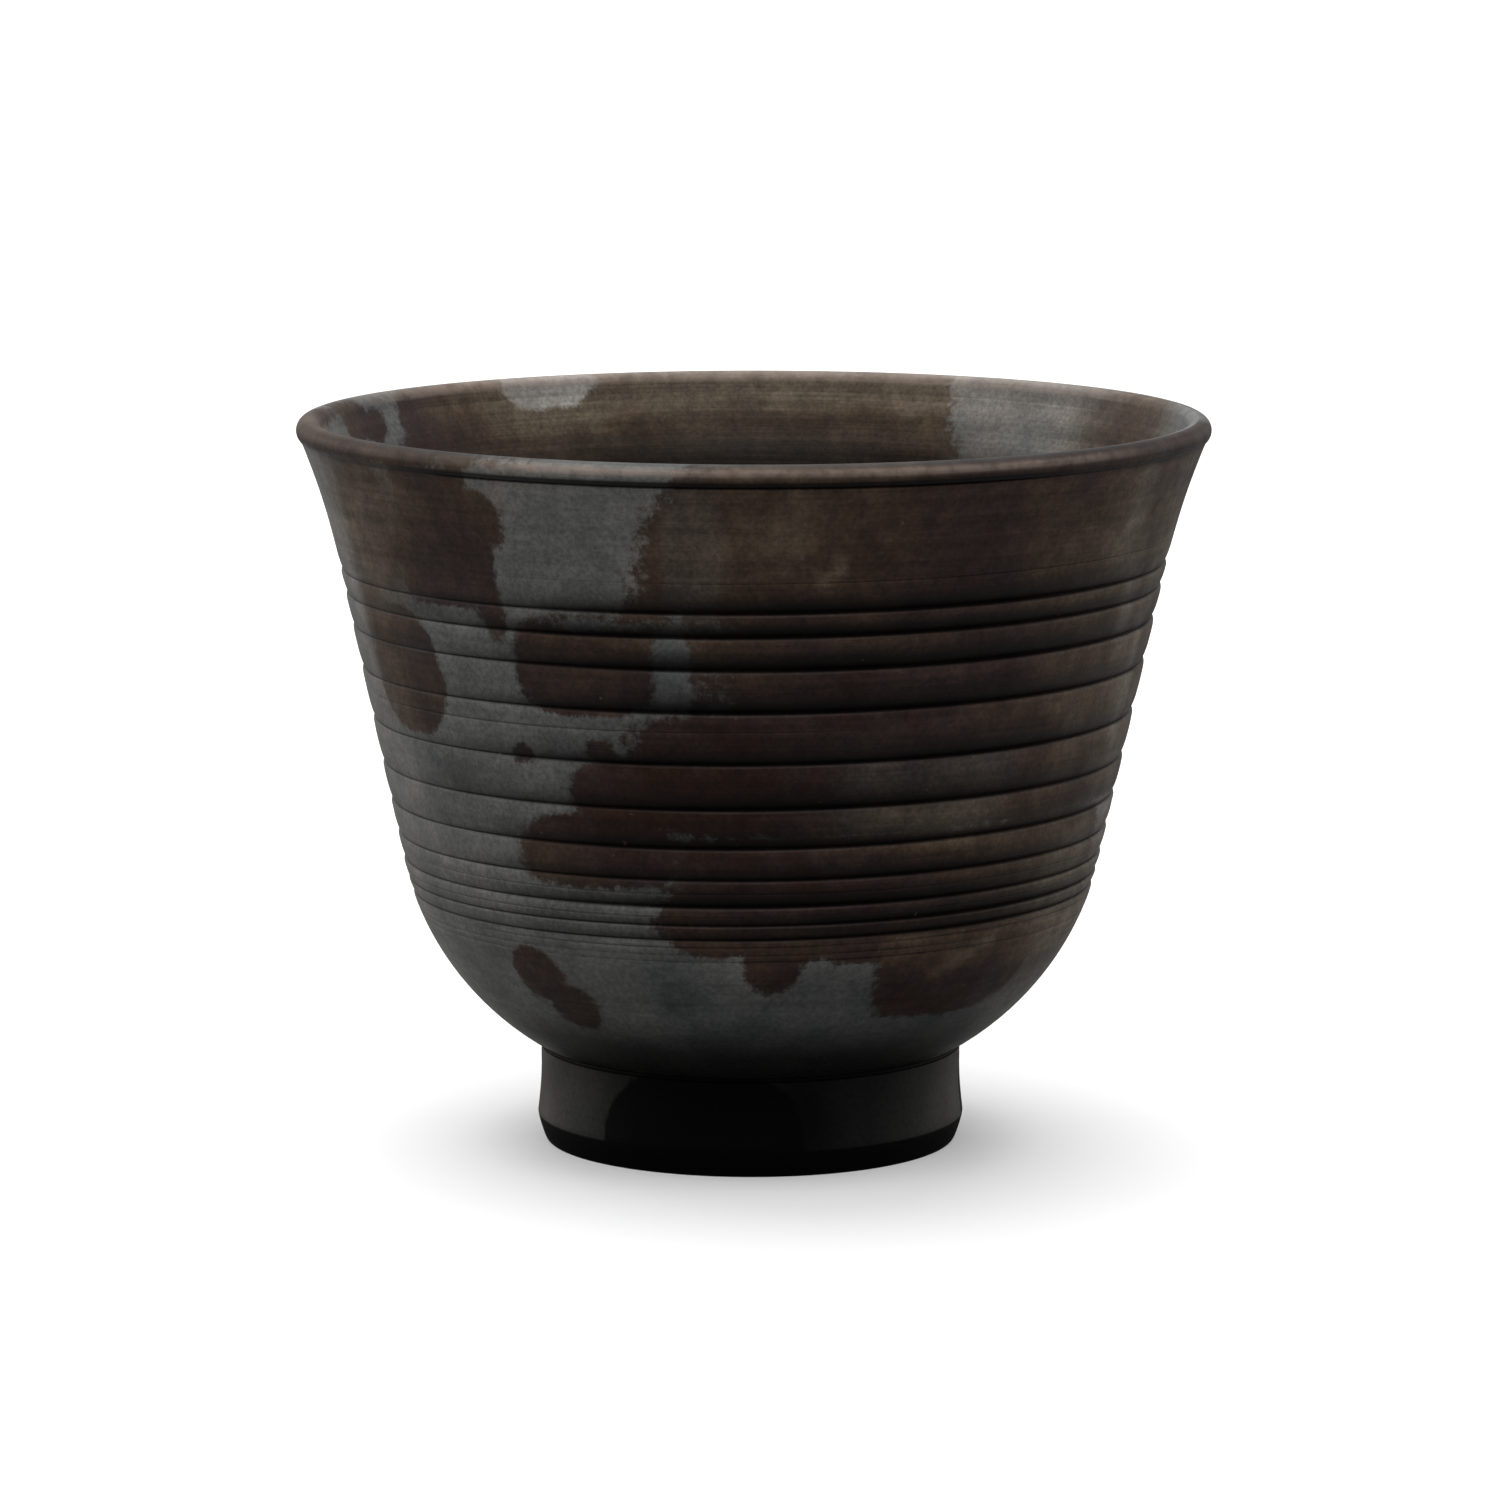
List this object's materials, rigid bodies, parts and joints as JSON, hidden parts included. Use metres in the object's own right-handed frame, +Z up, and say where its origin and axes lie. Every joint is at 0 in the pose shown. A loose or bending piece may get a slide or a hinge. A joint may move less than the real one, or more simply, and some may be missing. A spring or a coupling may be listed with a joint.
{
  "type": "footed sake cup",
  "caption": "Small footed stoneware drinking cup with rings cut round its wall, a flared lip with a rolled bead, and a luted foot ring.",
  "frame": {"origin": "centre of the foot ring's resting face, on the cup's axis", "axes": "+Z up along the cup's axis, from the foot to the lip; the cup is round, so +X and +Y are free"},
  "size_m": [0.066, 0.066, 0.053],
  "materials": {
    "satin_stoneware": "satin",
    "worn_lip": "satin",
    "foot_stoneware": "matte"
  },
  "bodies": {
    "root": {"bowl": "satin_stoneware", "rim_bead": "worn_lip", "luting_slip": "foot_stoneware", "foot_ring": "foot_stoneware"}
  },
  "joints": []
}
